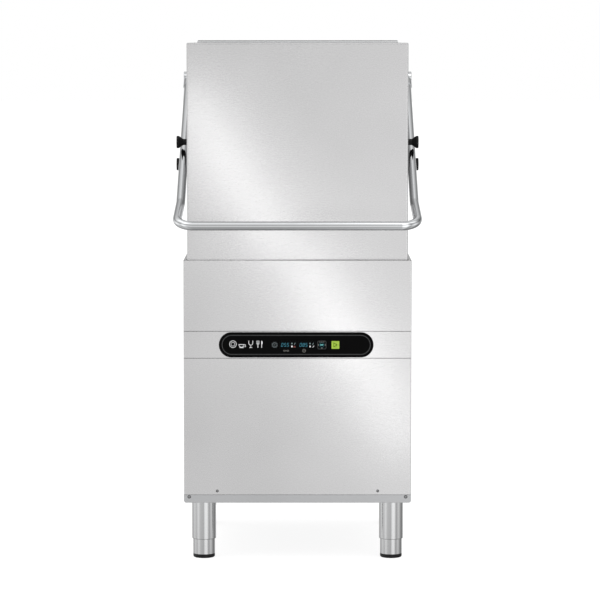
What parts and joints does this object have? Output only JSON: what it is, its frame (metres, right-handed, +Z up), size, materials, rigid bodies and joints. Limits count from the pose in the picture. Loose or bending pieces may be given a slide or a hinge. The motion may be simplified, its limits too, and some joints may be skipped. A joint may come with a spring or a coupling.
{
  "type": "commercial hood dishwasher",
  "caption": "Free-standing pass-through dishwasher: steel cabinet on adjustable legs, vertically lifting hood driven by a U-shaped bail handle, keypad strip, turning spray arms and tank.",
  "frame": {"origin": "on the floor, midway between the sides and between the handle's grip and the rear pipe ends, hood closed", "axes": "+Z up, -Y towards the operator at the front, +X to the operator's right"},
  "size_m": [0.698, 0.8722, 1.467],
  "materials": {
    "cabinet_steel": "fine vertical brushing",
    "hood_steel": "fine brushing",
    "frame_steel": "plain mill finish",
    "handle_steel": "polished stainless tube",
    "leg_steel": "polished stainless tube",
    "chamber_steel": "satin stainless",
    "fastener_steel": "bright stainless",
    "spring_steel": "phosphated spring steel",
    "black_plastic": "moulded, satin",
    "control_black": "gloss black plate",
    "display_glass": "tinted window",
    "key_grey": "printed key",
    "key_green": "backlit key",
    "board_green": "circuit board",
    "slider_white": "acetal",
    "cover_steel": "dark grey satin",
    "pump_alloy": "cast and painted",
    "boiler_steel": "plain stainless",
    "rubber_hose": "moulded hose",
    "valve_plastic": "moulded",
    "drain_plastic": "moulded pipe",
    "heater_sheath": "heater sheath"
  },
  "bodies": {
    "cabinet": {"base_frame": "frame_steel", "leg_tubes": "leg_steel", "left_side_panel": "cabinet_steel", "right_side_panel": "cabinet_steel", "upper_front_panel": "cabinet_steel", "control_strip": "cabinet_steel", "lower_front_panel": "cabinet_steel", "rear_panel": "cabinet_steel", "panel_screws": "fastener_steel", "control_plate": "control_black", "display_windows": "display_glass", "control_board": "board_green", "deck_plate": "chamber_steel", "tank": "chamber_steel", "rack_track": "chamber_steel", "surface_filters": "chamber_steel", "suction_filter": "chamber_steel", "tank_heater": "heater_sheath", "spray_manifolds": "chamber_steel", "arm_nuts": "black_plastic", "wash_riser": "chamber_steel", "rinse_riser": "chamber_steel", "rear_frame": "frame_steel", "chamber_back": "chamber_steel", "rear_cover": "cover_steel", "shaft_bearings": "black_plastic", "wash_pump": "pump_alloy", "wash_hoses": "rubber_hose", "boiler": "boiler_steel", "electric_plate": "frame_steel", "contactors": "black_plastic", "inlet_valve": "valve_plastic", "drain_pipe": "drain_plastic", "cable_gland": "black_plastic"},
    "hood": {"hood_front": "hood_steel", "hood_left_side": "hood_steel", "hood_right_side": "hood_steel", "hood_top": "hood_steel", "hood_sliders": "slider_white", "roller_pins": "fastener_steel"},
    "handle": {"handle_bail": "handle_steel", "handle_shaft": "frame_steel"},
    "spring_ends": {"spring_hooks": "frame_steel", "lift_springs": "spring_steel"},
    "lower_wash": {"lower_wash_arm": "chamber_steel"},
    "lower_rinse": {"lower_rinse_arm": "chamber_steel"},
    "upper_wash": {"upper_wash_arm": "chamber_steel"},
    "upper_rinse": {"upper_rinse_arm": "chamber_steel"},
    "overflow": {"overflow_pipe": "chamber_steel"},
    "drain_button": {"drain_key": "key_grey"},
    "power_button": {"power_key": "key_grey"},
    "start_button": {"start_key": "key_green"},
    "foot_fl": {"foot_front_left": "leg_steel"},
    "foot_fr": {"foot_front_right": "leg_steel"},
    "foot_rl": {"foot_rear_left": "leg_steel"},
    "foot_rr": {"foot_rear_right": "leg_steel"},
    "roller_lu": {"roller_left_upper": "black_plastic"},
    "roller_ll": {"roller_left_lower": "black_plastic"},
    "roller_ru": {"roller_right_upper": "black_plastic"},
    "roller_rl": {"roller_right_lower": "black_plastic"}
  },
  "joints": [
    {"name": "hood_lift", "type": "slide", "parent": "cabinet", "child": "hood", "axis": [0, 0, 1], "range_m": [0, 0.4]},
    {"name": "handle_swing", "type": "hinge", "parent": "cabinet", "child": "handle", "pos_m": [0, 0.354, 1.35365], "axis": [-1, 0, 0], "range_deg": [0, 53.6]},
    {"name": "spring_draw", "type": "slide", "parent": "cabinet", "child": "spring_ends", "axis": [0, 0, -1], "range_m": [0, 0.056], "deforming": ["lift_springs"]},
    {"name": "lower_wash_spin", "type": "hinge", "parent": "cabinet", "child": "lower_wash", "pos_m": [0, 0.004, 0.78], "axis": [0, 0, 1], "continuous": true},
    {"name": "lower_rinse_spin", "type": "hinge", "parent": "cabinet", "child": "lower_rinse", "pos_m": [0, 0.004, 0.78], "axis": [0, 0, 1], "continuous": true},
    {"name": "upper_wash_spin", "type": "hinge", "parent": "cabinet", "child": "upper_wash", "pos_m": [0, 0.004, 1.33], "axis": [0, 0, 1], "continuous": true},
    {"name": "upper_rinse_spin", "type": "hinge", "parent": "cabinet", "child": "upper_rinse", "pos_m": [0, 0.004, 1.33], "axis": [0, 0, 1], "continuous": true},
    {"name": "overflow_pull", "type": "slide", "parent": "cabinet", "child": "overflow", "axis": [0, 0, 1], "range_m": [0, 0.06]},
    {"name": "drain_press", "type": "slide", "parent": "cabinet", "child": "drain_button", "axis": [0, 1, 0], "range_m": [0, 0.0015], "stiffness_N_per_m": 1200, "springref_m": -0.001},
    {"name": "power_press", "type": "slide", "parent": "cabinet", "child": "power_button", "axis": [0, 1, 0], "range_m": [0, 0.0015], "stiffness_N_per_m": 1200, "springref_m": -0.001},
    {"name": "start_press", "type": "slide", "parent": "cabinet", "child": "start_button", "axis": [0, 1, 0], "range_m": [0, 0.0015], "stiffness_N_per_m": 1200, "springref_m": -0.001},
    {"name": "foot_fl_screw", "type": "slide", "parent": "cabinet", "child": "foot_fl", "axis": [0, 0, 1], "range_m": [0, 0.04]},
    {"name": "foot_fr_screw", "type": "slide", "parent": "cabinet", "child": "foot_fr", "axis": [0, 0, 1], "range_m": [0, 0.04]},
    {"name": "foot_rl_screw", "type": "slide", "parent": "cabinet", "child": "foot_rl", "axis": [0, 0, 1], "range_m": [0, 0.04]},
    {"name": "foot_rr_screw", "type": "slide", "parent": "cabinet", "child": "foot_rr", "axis": [0, 0, 1], "range_m": [0, 0.04]},
    {"name": "roller_lu_spin", "type": "hinge", "parent": "hood", "child": "roller_lu", "pos_m": [-0.325, -0.045, 1.1745], "axis": [1, 0, 0], "continuous": true},
    {"name": "roller_ll_spin", "type": "hinge", "parent": "hood", "child": "roller_ll", "pos_m": [-0.325, -0.045, 1.1105], "axis": [1, 0, 0], "continuous": true},
    {"name": "roller_ru_spin", "type": "hinge", "parent": "hood", "child": "roller_ru", "pos_m": [0.325, -0.045, 1.1745], "axis": [1, 0, 0], "continuous": true},
    {"name": "roller_rl_spin", "type": "hinge", "parent": "hood", "child": "roller_rl", "pos_m": [0.325, -0.045, 1.1105], "axis": [1, 0, 0], "continuous": true}
  ],
  "couplings": [
    {"joint": "handle_swing", "follows": "hood_lift", "rad_per_m": 2.33},
    {"joint": "spring_draw", "follows": "hood_lift", "ratio": 0.13475}
  ]
}
